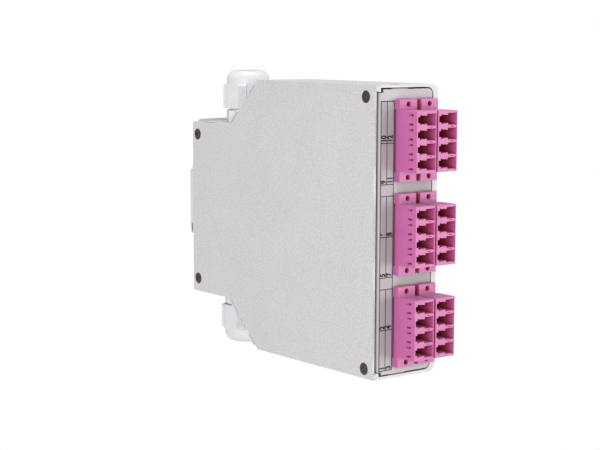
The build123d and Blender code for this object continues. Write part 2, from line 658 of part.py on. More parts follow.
def make_clip():
    """Spring-steel saddle on the adapter's rear block, with two tongues that hook behind the panel."""
    inner = BLOCK_HEIGHT / 2 - REAR_BLOCK_SHRINK
    outer = inner + CLIP_THICKNESS
    left = REAR_BLOCK_INSET - CLIP_THICKNESS
    right = REAR_BLOCK_INSET + REAR_BLOCK_WIDTH - CLIP_SHORT
    y0 = SHEET + CLIP_FROM_PANEL
    y1 = y0 + CLIP_WIDTH
    clip = block(left, REAR_BLOCK_INSET, y0, y1, -outer, outer)
    for side in (-1, 1):
        low, high = sorted((side * inner, side * outer))
        clip += block(left, right, y0, y1, low, high)
        root = y1 - TONGUE_ROOT
        overlap = CLIP_THICKNESS / 6
        tongue = [(root, side * (outer - overlap)), (root - CLIP_THICKNESS, side * (inner + overlap)),
                  (SHEET, side * (inner + TONGUE_RISE)), (SHEET, side * (outer + TONGUE_RISE))]
        clip += side_profile(tongue, *TONGUE_X)
    return clip


def make_gland_body():
    """Gland body: stub, hexagon, cap thread and a crown of claws. Height 0 is the wall's outer face."""
    hexagon = hex_prism(GLAND_HEX, 0, GLAND_HEX_HEIGHT)
    rim = GLAND_HEX_ROUND - GLAND_HEX_CHAMFER
    round_off = turned([(0, 0), (rim, 0), (GLAND_HEX_ROUND, GLAND_HEX_CHAMFER),
                        (GLAND_HEX_ROUND, GLAND_HEX_HEIGHT - GLAND_HEX_CHAMFER), (rim, GLAND_HEX_HEIGHT),
                        (0, GLAND_HEX_HEIGHT)])
    core = turned([(0, -GLAND_STUB), (GLAND_THREAD - THREAD_CHAMFER, -GLAND_STUB),
                   (GLAND_THREAD, -GLAND_STUB + THREAD_CHAMFER), (GLAND_THREAD, GLAND_HEX_CHAMFER),
                   (SPIGOT, GLAND_HEX_CHAMFER), (SPIGOT, SPIGOT_TOP), (CLAW_OUTER, SPIGOT_TOP),
                   (CLAW_OUTER, CLAW_ROOT), (CLAW_TIP, CLAW_TOP), (0, CLAW_TOP)])
    body = (hexagon & round_off) + core
    body -= rod_z(0, 0, -GLAND_STUB - PAST, SEAL_FLOOR + PAST, GLAND_BORE)
    body -= rod_z(0, 0, SEAL_FLOOR, CLAW_TOP + PAST, CLAW_INNER)
    for i in range(CLAW_COUNT // 2):
        slot = block(-CLAW_OUTER - PAST, CLAW_OUTER + PAST, -CLAW_SLOT / 2, CLAW_SLOT / 2, CLAW_ROOT,
                     CLAW_TOP + PAST)
        body -= Rot(0, 0, 360 / CLAW_COUNT * i) * slot
    return body


def make_cap_nut(angle):
    """Gland cap nut: hexagonal skirt with ribbed corners and a rounded dome with the cable opening."""
    shoulder = [(CAP_RIB_RADIUS - step, CAP_SHOULDER - drop) for step, drop in CAP_SHOULDER_ROUND]
    rim = [(CAP_RIB_RADIUS - CAP_RIM_CHAMFER, CAP_BOTTOM), (CAP_RIB_RADIUS, CAP_BOTTOM + CAP_RIM_CHAMFER)]
    envelope = turned([(0, CAP_BOTTOM)] + rim + shoulder + [(0, CAP_SHOULDER)])
    skirt = hex_prism(CAP_HEX, CAP_BOTTOM, CAP_SHOULDER, angle)
    corner_bar = block(CAP_DOME, CAP_RIB_RADIUS + PAST, -CAP_RIB_HALF, CAP_RIB_HALF, CAP_BOTTOM, CAP_SHOULDER)
    dome = rod_z(0, 0, CAP_THREAD_TOP, CAP_TOP, CAP_DOME)
    top_edge = dome.edges().filter_by(GeomType.CIRCLE).sort_by(Axis.Z)[-1]
    groove = Pos(CAP_RIB_RADIUS, 0, 0) * Rot(0, 0, 45) * block(-RIB_GROOVE_DEPTH, RIB_GROOVE_DEPTH,
                                                              -RIB_GROOVE_DEPTH, RIB_GROOVE_DEPTH,
                                                              CAP_BOTTOM - PAST, CAP_SHOULDER)
    for corner in range(6):
        skirt += Rot(0, 0, angle + 60 * corner) * corner_bar
    cap = (skirt & envelope) + fillet(top_edge, CAP_DOME_ROUND)
    for corner in range(6):
        for offset in RIB_GROOVES:
            cap -= Rot(0, 0, angle + 60 * corner + offset) * groove
    cap -= turned([(0, CAP_BOTTOM - PAST), (CAP_THREAD, CAP_BOTTOM - PAST), (CAP_THREAD, CAP_THREAD_TOP),
                   (CAP_SEAT_RADIUS, CAP_SEAT), (CAP_OPENING, CAP_SEAT), (CAP_OPENING, CAP_TOP + PAST),
                   (0, CAP_TOP + PAST)])
    return cap


def make_seal():
    """Elastomer sealing insert with the cable bore."""
    return turned([(SEAL_BORE, SEAL_FLOOR), (SEAL_OUTER, SEAL_FLOOR), (SEAL_OUTER, SEAL_TOP - SEAL_EDGE),
                   (SEAL_OUTER - SEAL_EDGE, SEAL_TOP), (SEAL_BORE, SEAL_TOP)])


def make_pressure_ring():
    """Flat slip ring between the cap nut's shoulder and the seal."""
    return turned([(RING_BORE, CAP_SEAT - RING_HEIGHT), (RING_OUTER, CAP_SEAT - RING_HEIGHT),
                   (RING_OUTER, CAP_SEAT), (RING_BORE, CAP_SEAT)])


def make_lock_nut():
    """Hexagonal lock nut on the stub, inside the wall."""
    nut = hex_prism(LOCK_NUT_HEX, -SHEET - LOCK_NUT_HEIGHT, -SHEET, 30)
    return nut - rod_z(0, 0, -SHEET - LOCK_NUT_HEIGHT - PAST, 0, LOCK_NUT_BORE)


def make_rail_foot():
    """Foot plate with top hooks for the rail, a boss that holds the spring, and a channel for the latch."""
    foot = block(LEFT, RIGHT, BACK, 0, FOOT_BOTTOM, FOOT_TOP)
    foot = fillet(foot.edges().filter_by(Axis.Y), FOOT_CORNER)
    foot -= block(LEFT - PAST, RIGHT + PAST, -SHOULDER_CLEARANCE, PAST, FOOT_BOTTOM - PAST,
                  NOSE_TIP + FOOT_SEAT_GAP)
    foot += block(LEFT + SHOULDER_INSET, RIGHT - SHOULDER_INSET, BACK, -SHOULDER_CLEARANCE,
                  FOOT_TOP - PAST, SHOULDER_TOP)
    boss = block(-BOSS_HALF_WIDTH, BOSS_HALF_WIDTH, -PAST, BOSS_DEPTH, -BOSS_HALF_HEIGHT, BOSS_HALF_HEIGHT)
    rear_face = boss.faces().sort_by(Axis.Y)[-1]
    foot += fillet(rear_face.edges(), BOSS_EDGE)
    hook_y0 = RAIL_FLANGE + HOOK_CLEARANCE
    hook_y1 = hook_y0 + HOOK_THICKNESS
    rail_top = RAIL_HALF + HOOK_CLEARANCE
    for side in (-1, 1):
        x0, x1 = sorted((side * HOOK_INNER, side * HOOK_OUTER))
        hook = side_profile([(BACK, FOOT_TOP - PAST), (BACK, HOOK_TOP - HOOK_EDGE),
                             (BACK + HOOK_EDGE, HOOK_TOP), (hook_y1 - HOOK_EDGE, HOOK_TOP),
                             (hook_y1, HOOK_TOP - HOOK_EDGE),
                             (hook_y1, HOOK_TIP + HOOK_TIP_EDGE), (hook_y1 - HOOK_TIP_EDGE, HOOK_TIP),
                             (hook_y0 + HOOK_TIP_EDGE / 2, HOOK_TIP), (hook_y0, HOOK_TIP + HOOK_TIP_EDGE),
                             (hook_y0, rail_top), (-HOOK_CLEARANCE, rail_top),
                             (-HOOK_CLEARANCE, FOOT_TOP - PAST)], x0, x1)
        foot += hook
        slot_x0, slot_x1 = sorted((side * (RIGHT + PAST), side * (RIGHT - SIDE_SLOT[0])))
        foot -= block(slot_x0, slot_x1, -SIDE_SLOT_FROM_RAIL - SIDE_SLOT[1], -SIDE_SLOT_FROM_RAIL,
                      FOOT_BOTTOM - PAST, FOOT_BOTTOM + SIDE_SLOT[2])
        foot -= Pos(side * FOOT_SCREW_X, 0, 0) * FACING_REAR * sink(RAIL_GAP)
    channel = LATCH_HALF_WIDTH + LATCH_PLAY
    floor = BACK + LATCH_THICKNESS + 2 * LATCH_PLAY
    channel_top = LATCH_TOP + LATCH_END_GAP
    foot -= block(-channel, channel, BACK - PAST, floor, FOOT_BOTTOM - PAST, channel_top)
    foot -= block(-SPRING_POCKET_HALF, SPRING_POCKET_HALF, BACK - PAST, BOSS_DEPTH - SPRING_POCKET_WALL,
                  SPRING_SEAT, channel_top)
    return foot


def make_rail_latch():
    """Sheet latch: spring frame, arms with noses behind the rail's lower flange, tongue with a slot."""
    y0 = BACK + LATCH_PLAY
    y1 = y0 + LATCH_THICKNESS
    latch = block(-LATCH_HALF_WIDTH, LATCH_HALF_WIDTH, y0, y1, LATCH_ARM_BOTTOM, LATCH_TOP)
    latch -= block(-SPRING_POCKET_HALF, SPRING_POCKET_HALF, y0 - PAST, y1 + PAST,
                   SPRING_SEAT - LATCH_POCKET_GAP, LATCH_TOP - LATCH_BAR)
    pusher = SPRING_POCKET_HALF - LATCH_PLAY
    latch += block(-pusher, pusher, y0, BOSS_DEPTH - SPRING_POCKET_WALL - SPRING_PUSHER_GAP,
                   LATCH_TOP - LATCH_BAR, LATCH_TOP)
    latch += block(-LATCH_ARM_HALF, LATCH_ARM_HALF, y0, y1, LATCH_ARM_BOTTOM, FOOT_BOTTOM)
    latch += block(-LATCH_TONGUE_HALF, LATCH_TONGUE_HALF, y0, y1, LATCH_END, LATCH_ARM_BOTTOM)
    tip_y = RAIL_FLANGE + NOSE_CLEARANCE
    for side in (-1, 1):
        x0, x1 = sorted((side * NOSE_INNER, side * LATCH_ARM_HALF))
        low, back = NOSE_TOP - NOSE_THICKNESS, tip_y + NOSE_THICKNESS
        latch += side_profile([(y0, low), (back - NOSE_EDGE, low), (back, low + NOSE_EDGE),
                               (back, NOSE_TIP - NOSE_LEAD), (tip_y + NOSE_EDGE, NOSE_TIP),
                               (tip_y, NOSE_TIP - NOSE_EDGE / 2), (tip_y, NOSE_TOP), (y0, NOSE_TOP)], x0, x1)
    end_corners = [e for e in latch.edges().filter_by(Axis.Y) if abs(e.center().Z - LATCH_END) < 1e-3]
    latch = fillet(end_corners, TONGUE_CORNER)
    slot_z = LATCH_END + DRIVER_SLOT_FROM_END
    latch -= block(-DRIVER_SLOT[0] / 2, DRIVER_SLOT[0] / 2, y0 - PAST, y1 + PAST, slot_z - DRIVER_SLOT[1] / 2,
                   slot_z + DRIVER_SLOT[1] / 2)
    return latch


def make_latch_spring():
    """Compression spring between the foot's pocket floor and the latch's bar."""
    top = LATCH_TOP - LATCH_BAR
    length = top - SPRING_SEAT - 2 * SPRING_WIRE
    path = Helix(length / SPRING_TURNS, length, SPRING_RADIUS)
    start = path @ 0
    wire = Plane(origin=start, z_dir=path % 0) * Circle(SPRING_WIRE)
    spring = sweep(wire, path=path)
    return Pos(0, (BACK + BOSS_DEPTH - SPRING_POCKET_WALL) / 2, SPRING_SEAT + SPRING_WIRE) * spring


def make_foot_screws():
    """Two countersunk screws through the foot plate into the rear wall's nuts."""
    screw = FACING_REAR * countersunk_screw(RAIL_GAP + SHEET + NUT_HEIGHT)
    return Compound(children=[Pos(side * FOOT_SCREW_X, 0, 0) * screw for side in (-1, 1)])


def tray_prism(x0, x1, inset):
    """Rounded tray outline, inset all round, as a prism along X."""
    width = TRAY_Y[1] - TRAY_Y[0] - 2 * inset
    height = TRAY_Z[1] - TRAY_Z[0] - 2 * inset
    centre = Plane.YZ.offset(x0) * Pos(sum(TRAY_Y) / 2, sum(TRAY_Z) / 2)
    return extrude(centre * RectangleRounded(width, height, TRAY_CORNER - inset), x1 - x0)


def pillar_places():
    """(y, z) of the four tray pillars."""
    inset_y, inset_z = PILLAR_INSET
    return [(y, z) for y in (TRAY_Y[0] + inset_y, TRAY_Y[1] - inset_y)
            for z in (TRAY_Z[0] + inset_z, TRAY_Z[1] - inset_z)]


def make_splice_tray():
    """Moulded tray with two fibre cores: its base is on the right and its rim towards the cover."""
    tray = tray_prism(TRAY_RIM_X, TRAY_FACE_X, 0)
    tray -= tray_prism(TRAY_RIM_X - PAST, TRAY_FACE_X - TRAY_BASE, TRAY_WALL)
    for y in (TRAY_Y[0] + CORE_FROM_END, TRAY_Y[1] - CORE_FROM_END):
        core = rod_x(TRAY_RIM_X + LID_GAP, TRAY_FACE_X - TRAY_BASE / 2, y, BOX_CENTRE_Z, CORE_RADIUS)
        tray += core - rod_x(TRAY_RIM_X, TRAY_FACE_X - TRAY_BASE, y, BOX_CENTRE_Z, CORE_RADIUS - CORE_WALL)
    for y, z in pillar_places():
        tray -= rod_x(TRAY_FACE_X - TRAY_BASE - PAST, TRAY_FACE_X + PAST, y, z, THREAD_HOLE + SINK_CLEARANCE)
    for y in TRAY_Y:
        tray -= block(TRAY_RIM_X - PAST, TRAY_FACE_X - TRAY_BASE, y - 2 * TRAY_WALL, y + 2 * TRAY_WALL,
                      BOX_CENTRE_Z - TRAY_PORT / 2, BOX_CENTRE_Z + TRAY_PORT / 2)
    return tray


def make_tray_lid():
    """Clear lid on the tray's rim."""
    return tray_prism(LID_X, TRAY_RIM_X, 0)


def make_splice_comb(z):
    """Comb that holds splice protectors, standing on the tray's base."""
    base = TRAY_FACE_X - TRAY_BASE
    width = COMB_PITCH * (COMB_RIBS - 1) + COMB_RIB
    along = (TRAY_Y[0] + COMB_END, TRAY_Y[1] - COMB_END)
    comb = block(base - COMB_BASE, base, *along, z - width / 2, z + width / 2)
    for i in range(COMB_RIBS):
        rib_z = z - width / 2 + COMB_PITCH * i
        comb += block(base - COMB_HEIGHT, base - COMB_BASE / 2, *along, rib_z, rib_z + COMB_RIB)
    return comb


def make_tray_pillars():
    """Pillars from the right wall to the tray's base."""
    pillars = []
    for y, z in pillar_places():
        pillar = rod_x(TRAY_FACE_X, WALL_INNER, y, z, PILLAR_RADIUS)
        pillars.append(pillar - rod_x(TRAY_FACE_X - PAST, TRAY_FACE_X + PAN_SCREW_LENGTH, y, z, THREAD_HOLE))
    return Compound(children=pillars)


def make_tray_screws():
    """Pan-head screws that hold the tray on its pillars."""
    seat = TRAY_FACE_X - TRAY_BASE
    radius, height = PAN_HEAD
    return Compound(children=[rod_x(seat - height, seat, y, z, radius)
                              + rod_x(seat - height / 2, seat + PAN_SCREW_LENGTH, y, z, SCREW_SHANK)
                              for y, z in pillar_places()])


def make_cable_bracket():
    """Spot-welded bracket on the rear wall, with a slotted ledge at each end for cable ties."""
    y1 = BACK - SHEET
    low, high = BOX_CENTRE_Z - BRACKET_HEIGHT / 2, BOX_CENTRE_Z + BRACKET_HEIGHT / 2
    x0, x1 = GLAND_X - BRACKET_HALF_WIDTH, GLAND_X + BRACKET_HALF_WIDTH
    bracket = block(x0, x1, y1 - BRACKET_THICKNESS, y1, low, high)
    slot_y = y1 - LEDGE_DEPTH + TIE_SLOT_FROM_EDGE
    for z0 in (low, high - BRACKET_THICKNESS):
        bracket += block(x0, x1, y1 - LEDGE_DEPTH, y1, z0, z0 + BRACKET_THICKNESS)
        for side in (-1, 1):
            x = GLAND_X + side * TIE_SLOT_SPACING / 2
            bracket -= block(x - TIE_SLOT[0] / 2, x + TIE_SLOT[0] / 2, slot_y - TIE_SLOT[1] / 2,
                             slot_y + TIE_SLOT[1] / 2, z0 - PAST, z0 + BRACKET_THICKNESS + PAST)
    return bracket


def build_parts():
    """All nodes of the splice box by name."""
    parts = {
        "housing": make_housing(),
        "side_cover": make_side_cover(),
        "cover_screws": make_cover_screws(),
        "press_nuts": make_press_nuts(),
        "front_panel": make_front_panel(),
        "panel_screws": make_panel_screws(),
        "label_strip": make_label_strip(),
        "rail_foot": make_rail_foot(),
        "rail_latch": make_rail_latch(),
        "latch_spring": make_latch_spring(),
        "foot_screws": make_foot_screws(),
        "splice_tray": make_splice_tray(),
        "tray_lid": make_tray_lid(),
        "tray_pillars": make_tray_pillars(),
        "tray_screws": make_tray_screws(),
        "cable_bracket": make_cable_bracket(),
    }
    for number, z in enumerate(COMB_Z, 1):
        parts[f"splice_comb_{number}"] = make_splice_comb(z)
    adapter, sleeves, clip = make_adapter(), make_sleeves(), make_clip()
    places = [Pos(x, FRONT, z) for z in ROWS for x in COLUMNS]
    for number, place in enumerate(places, 1):
        parts[f"adapter_{number}"] = place * adapter
        parts[f"adapter_sleeves_{number}"] = Compound(children=[place * sleeve for sleeve in sleeves])
        parts[f"adapter_clip_{number}"] = place * clip
    for name, place in GLANDS.items():
        angle = CAP_ANGLE if name == "top" else -CAP_ANGLE
        parts[f"gland_{name}_body"] = place * make_gland_body()
        parts[f"gland_{name}_cap_nut"] = place * make_cap_nut(angle)
        parts[f"gland_{name}_seal"] = place * make_seal()
        parts[f"gland_{name}_pressure_ring"] = place * make_pressure_ring()
        parts[f"gland_{name}_lock_nut"] = place * make_lock_nut()
    return parts


PARTS = build_parts()
os.makedirs("parts", exist_ok=True)
for node, solid in PARTS.items():
    export_step(solid, f"parts/{node}.step")
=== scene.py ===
"""Looks of a fibre splice box for a 35 mm rail: finishes, softened edges, printed label and studio."""

from __future__ import annotations

import json
import logging
import math
from dataclasses import dataclass, field
from enum import Enum

import bpy
from mathutils import Matrix, Vector


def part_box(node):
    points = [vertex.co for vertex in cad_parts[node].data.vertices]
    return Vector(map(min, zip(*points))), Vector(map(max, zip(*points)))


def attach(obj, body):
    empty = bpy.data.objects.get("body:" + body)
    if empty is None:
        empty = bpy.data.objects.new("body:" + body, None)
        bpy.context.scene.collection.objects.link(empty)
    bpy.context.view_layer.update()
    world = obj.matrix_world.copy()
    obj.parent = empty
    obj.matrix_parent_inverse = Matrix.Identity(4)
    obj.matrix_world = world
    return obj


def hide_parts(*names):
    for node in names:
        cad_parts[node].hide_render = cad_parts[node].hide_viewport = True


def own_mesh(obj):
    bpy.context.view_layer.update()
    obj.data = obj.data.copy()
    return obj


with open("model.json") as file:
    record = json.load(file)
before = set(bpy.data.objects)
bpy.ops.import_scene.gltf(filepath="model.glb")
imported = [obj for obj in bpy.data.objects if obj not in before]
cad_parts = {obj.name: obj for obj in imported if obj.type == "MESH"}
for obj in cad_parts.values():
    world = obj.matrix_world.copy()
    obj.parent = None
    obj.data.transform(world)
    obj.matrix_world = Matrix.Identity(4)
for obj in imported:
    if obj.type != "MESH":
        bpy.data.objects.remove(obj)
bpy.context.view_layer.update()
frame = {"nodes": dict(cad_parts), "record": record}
LOG = logging.getLogger("splice_box")
MM = 0.001
UNIT = (0.0, 1.0)
WHITE = (1.0, 1.0, 1.0, 1.0)
NOISE_RANGE = (0.3, 0.7)  # where most of a noise's values lie
ROOM_SAMPLES = 8  # rays that feel how closed in a point is
CLOUD_DETAIL = 2.0  # finer layers in a soft cloud of colour
SMOOTH_DEG = 32.0  # faces that meet under this angle are shaded as one surface
FLAT_DEG = 0.6  # faces that meet under this angle become one face
EDGE_STEPS = 2  # faces across a rounded edge
WELD_M = 0.5e-6  # corners closer than this are merged
SAME_PLACE_M = 1e-6


class Edge(Enum):
    """How far a piece's edges are rounded, in millimetres, by the way the piece is made."""

    FOLDED_SHEET = 0.22
    BLANKED_SHEET = 0.10
    MOULDED = 0.12
    THICK_MOULDED = 0.25
    TURNED = 0.06


def srgb(hex_value: str) -> tuple[float, float, float, float]:
    """Turns an sRGB hex value to linear RGBA.

    Args:
        hex_value: six hex digits, such as "C9C9CA".

    Returns:
        The linear colour with alpha 1.
    """
    channels = [int(hex_value[i:i + 2], 16) / 255 for i in (0, 2, 4)]
    linear = [c / 12.92 if c <= 0.04045 else ((c + 0.055) / 1.055) ** 2.4 for c in channels]
    return (*linear, 1.0)


def add_node(tree: bpy.types.NodeTree, kind: str, inputs: dict | None = None, **settings) -> bpy.types.Node:
    """Adds a node with its settings, and its sockets' values or links.

    Args:
        tree: the material's node tree.
        kind: Blender's name of the node type.
        inputs: socket name or index to a value, or to the output socket that it is linked from.
        settings: the node's own attributes.

    Returns:
        The new node.
    """
    node = tree.nodes.new(kind)
    for name, value in settings.items():
        setattr(node, name, value)
    for socket, value in (inputs or {}).items():
        if isinstance(value, bpy.types.NodeSocket):
            tree.links.new(value, node.inputs[socket])
        else:
            node.inputs[socket].default_value = value
    return node


def new_tree(name: str) -> tuple[bpy.types.Material, bpy.types.NodeTree]:
    """Makes an empty node material.

    Args:
        name: the material's name.

    Returns:
        The material and its node tree.
    """
    material = bpy.data.materials.new(name)
    material.use_nodes = True
    material.node_tree.nodes.clear()
    return material, material.node_tree


def noise(tree: bpy.types.NodeTree, place: bpy.types.NodeSocket, size_mm: float, detail: float,
          roughness: float = 0.5) -> bpy.types.NodeSocket:
    """Adds a noise of one grain size.

    Args:
        tree: the material's node tree.
        place: the coordinates that it is drawn on.
        size_mm: the grain's size, in millimetres.
        detail: how many finer layers go on top.
        roughness: how strong the finer layers are.

    Returns:
        The noise's value.
    """
    values = {"Vector": place, "Scale": 1 / (size_mm * MM), "Detail": detail, "Roughness": roughness}
    return add_node(tree, "ShaderNodeTexNoise", values).outputs["Fac"]


def remap(tree: bpy.types.NodeTree, value: bpy.types.NodeSocket, source: tuple[float, float],
          target: tuple[float, float]) -> bpy.types.NodeSocket:
    """Maps a value from one range to another.

    Args:
        tree: the material's node tree.
        value: the value to map.
        source: where its range starts and ends.
        target: what the two ends become.

    Returns:
        The mapped value.
    """
    values = {"Value": value, "From Min": source[0], "From Max": source[1], "To Min": target[0],
              "To Max": target[1]}
    return add_node(tree, "ShaderNodeMapRange", values).outputs[0]


def mix(tree: bpy.types.NodeTree, share: bpy.types.NodeSocket, first: bpy.types.NodeSocket | tuple,
        second: tuple) -> bpy.types.NodeSocket:
    """Mixes two colours.

    Args:
        tree: the material's node tree.
        share: how much of the second colour is mixed in.
        first: the first colour, linear or as a socket.
        second: the second colour, linear.

    Returns:
        The mixed colour.
    """
    return add_node(tree, "ShaderNodeMix", {0: share, 6: first, 7: second}, data_type="RGBA").outputs[2]


def paint_shade_and_highlight(tree: bpy.types.NodeTree, base: bpy.types.NodeSocket, colour: str, reach_mm: float,
              shares: tuple[float, float]) -> bpy.types.NodeSocket:
    """Paints a colour in where other surfaces stand close: painted shade where the colour is darker, a
    painted highlight where it is lighter.

    Args:
        tree: the material's node tree.
        base: the open colour.
        colour: the painted colour, darker for painted shade and lighter for a painted highlight, as sRGB
            hex.
        reach_mm: how far the neighbours count, in millimetres.
        shares: the open share of the surroundings at which the mix starts, and the one at which it is full.

    Returns:
        The mixed colour.
    """
    # painted shade and highlight: the colour follows how closed in a point is, not any lamp
    room = add_node(tree, "ShaderNodeAmbientOcclusion", {"Distance": reach_mm * MM}, samples=ROOM_SAMPLES)
    return mix(tree, remap(tree, room.outputs["AO"], shares, UNIT), base, srgb(colour))


def grained(tree: bpy.types.NodeTree, height: bpy.types.NodeSocket, bump_mm: float,
            strength: float) -> bpy.types.NodeSocket:
    """Makes a fine relief.

    Args:
        tree: the material's node tree.
        height: the relief's height, from 0 to 1.
        bump_mm: how deep it is, in millimetres.
        strength: how much of it shows.

    Returns:
        The surface's new normal.
    """
    values = {"Height": height, "Distance": bump_mm * MM, "Strength": strength}
    return add_node(tree, "ShaderNodeBump", values).outputs["Normal"]


def around(middle: float, spread: float) -> tuple[float, float]:
    """Gives the range that lies about a middle value.

    Args:
        middle: the middle value.
        spread: how far the range reaches to each side of it.

    Returns:
        The range's start and end.
    """
    return middle - spread, middle + spread


def surface(tree: bpy.types.NodeTree, inputs: dict) -> None:
    """Ends a material with its shader and output.

    Args:
        tree: the material's node tree.
        inputs: the shader's values and links.
    """
    shader = add_node(tree, "ShaderNodeBsdfPrincipled", inputs)
    add_node(tree, "ShaderNodeOutputMaterial", {"Surface": shader.outputs[0]})


@dataclass(frozen=True)
class SpeckledCoat:
    """Fine-texture powder coat on steel: a soft grain, a few brighter flakes and a satin sheen.

    The grain is drawn at 0.5 to 0.8 mm, a little coarser than the real one, so that it shows in the render.
    Where shade is given, the coat is painted in that darker colour in narrow gaps: painted shade, such as
    between and behind the adapters.
    """

    name: str
    dark: str
    light: str
    fleck: str
    grain_mm: float = 0.55
    grain_detail: float = 3.0
    grain_roughness: float = 0.65
    cloud_mm: float = 26.0
    cloud_share: float = 0.15
    tones: tuple[float, float] = (0.3, 0.85)
    fleck_mm: float = 1.1
    fleck_rim: tuple[float, float] = (0.16, 0.05)
    fleck_share: float = 0.55
    roughness: float = 0.46
    roughness_spread: float = 0.06
    bump_mm: float = 0.012
    bump_strength: float = 0.6
    ior: float = 1.5
    # painted shade in narrow gaps: its colour, its reach in millimetres, and the open shares where it starts
    # and is full
    shade: str = ""
    painted_shade_mm: float = 22.0
    painted_shade_shares: tuple[float, float] = (0.85, 0.3)

    def material(self) -> bpy.types.Material:
        """Builds the material."""
        material, tree = new_tree(self.name)
        place = add_node(tree, "ShaderNodeTexCoord").outputs["Object"]
        grain = noise(tree, place, self.grain_mm, self.grain_detail, self.grain_roughness)
        cloud = noise(tree, place, self.cloud_mm, CLOUD_DETAIL)
        mixed = add_node(tree, "ShaderNodeMath", {0: cloud, 1: self.cloud_share, 2: grain},
                         operation="MULTIPLY_ADD")
        tone = remap(tree, mixed.outputs[0], self.tones, UNIT)
        base = mix(tree, tone, srgb(self.dark), srgb(self.light))
        cells = add_node(tree, "ShaderNodeTexVoronoi", {"Vector": place, "Scale": 1 / (self.fleck_mm * MM),
                                                        "Randomness": 1.0})
        flakes = remap(tree, cells.outputs["Distance"], self.fleck_rim, (0.0, self.fleck_share))
        colour = mix(tree, flakes, base, srgb(self.fleck))
        rough = remap(tree, grain, NOISE_RANGE, around(self.roughness, self.roughness_spread))
        normal = grained(tree, grain, self.bump_mm, self.bump_strength)
        # painted shade: the coat is darkened where other surfaces stand close
        if self.shade:
            colour = paint_shade_and_highlight(tree, colour, self.shade, self.painted_shade_mm, self.painted_shade_shares)
        surface(tree, {"Base Color": colour, "IOR": self.ior, "Roughness": rough, "Normal": normal})
        return material


@dataclass(frozen=True)
class MouldedPlastic:
    """Injection-moulded plastic: even colour with a faint cloud, a fine eroded skin and a satin gloss.

    Where a cavity colour is given, the colour is painted darker and redder inside narrow openings: painted
    shade, standing in for the shadow and the light bounced round inside them.
    """

    name: str
    shade: str
    tint: str
    roughness: float = 0.38
    cloud_mm: float = 6.0
    grain_mm: float = 0.12
    grain_detail: float = 1.0
    bump_mm: float = 0.006
    bump_strength: float = 0.5
    scatter: float = 0.0
    scatter_colour: tuple[float, float, float] = (1.0, 0.7, 0.7)
    scatter_mm: float = 0.8
    sheen: float = 0.0
    sheen_roughness: float = 0.6
    ior: float = 1.5
    # painted shade inside narrow openings: its colour, its reach in millimetres, and the open shares where
    # it starts and is full
    painted_cavity_shade: str = ""
    painted_cavity_shade_mm: float = 9.0
    painted_cavity_shade_shares: tuple[float, float] = (0.5, 0.15)

    def material(self) -> bpy.types.Material:
        """Builds the material."""
        material, tree = new_tree(self.name)
        place = add_node(tree, "ShaderNodeTexCoord").outputs["Object"]
        base = mix(tree, noise(tree, place, self.cloud_mm, CLOUD_DETAIL), srgb(self.shade), srgb(self.tint))
        # painted shade: darker and redder where other surfaces stand close
        if self.painted_cavity_shade:
            base = paint_shade_and_highlight(tree, base, self.painted_cavity_shade, self.painted_cavity_shade_mm, self.painted_cavity_shade_shares)
        grain = noise(tree, place, self.grain_mm, self.grain_detail)
        normal = grained(tree, grain, self.bump_mm, self.bump_strength)
        surface(tree, {"Base Color": base, "IOR": self.ior, "Roughness": self.roughness, "Normal": normal,
                       "Subsurface Weight": self.scatter, "Subsurface Radius": self.scatter_colour,
                       "Subsurface Scale": self.scatter_mm * MM, "Sheen Weight": self.sheen,
                       "Sheen Roughness": self.sheen_roughness})
        return material


@dataclass(frozen=True)
class PlatedSteel:
    """Zinc-plated sheet or wire: metallic, with fine drawing lines along one axis and a slight milky film.

    Where a recess colour is given, narrow recesses are painted in that lighter colour: a painted highlight
    inside a black screw's drive recess.
    """

    name: str
    dark: str
    light: str
    roughness: float = 0.32
    roughness_spread: float = 0.08
    line_mm: float = 0.18
    line_detail: float = 3.0
    stretch: tuple[float, float, float] = (0.06, 1.0, 1.0)
    film_mm: float = 4.0
    film_detail: float = 3.0
    bump_mm: float = 0.004
    bump_strength: float = 0.4
    # painted highlight in narrow recesses: its colour, its reach in millimetres, and the open shares where
    # it starts and is full
    painted_recess_highlight: str = ""
    painted_recess_highlight_mm: float = 1.6
    painted_recess_highlight_shares: tuple[float, float] = (0.85, 0.5)

    def material(self) -> bpy.types.Material:
        """Builds the material."""
        material, tree = new_tree(self.name)
        place = add_node(tree, "ShaderNodeTexCoord").outputs["Object"]
        along = add_node(tree, "ShaderNodeMapping", {"Vector": place, "Scale": self.stretch}).outputs[0]
        lines = noise(tree, along, self.line_mm, self.line_detail)
        film = noise(tree, place, self.film_mm, self.film_detail)
        base = mix(tree, film, srgb(self.dark), srgb(self.light))
        # painted highlight: lighter where other surfaces stand close
        if self.painted_recess_highlight:
            base = paint_shade_and_highlight(tree, base, self.painted_recess_highlight, self.painted_recess_highlight_mm, self.painted_recess_highlight_shares)
        rough = remap(tree, lines, NOISE_RANGE, around(self.roughness, self.roughness_spread))
        normal = grained(tree, lines, self.bump_mm, self.bump_strength)
        surface(tree, {"Base Color": base, "Metallic": 1.0, "Roughness": rough, "Normal": normal})
        return material


@dataclass(frozen=True)
class ClearPlastic:
    """Clear polycarbonate: smooth, slightly smoky, seen through."""

    name: str
    tint: str
    roughness: float = 0.12
    roughness_spread: float = 0.04
    haze_mm: float = 3.0
    ior: float = 1.58
    clear: float = 0.9

    def material(self) -> bpy.types.Material:
        """Builds the material."""
        material, tree = new_tree(self.name)
        place = add_node(tree, "ShaderNodeTexCoord").outputs["Object"]
        haze = noise(tree, place, self.haze_mm, CLOUD_DETAIL)
        rough = remap(tree, haze, UNIT, around(self.roughness, self.roughness_spread))
        surface(tree, {"Base Color": srgb(self.tint), "IOR": self.ior, "Roughness": rough,
                       "Transmission Weight": self.clear})
        return material


Finish = SpeckledCoat | MouldedPlastic | PlatedSteel | ClearPlastic

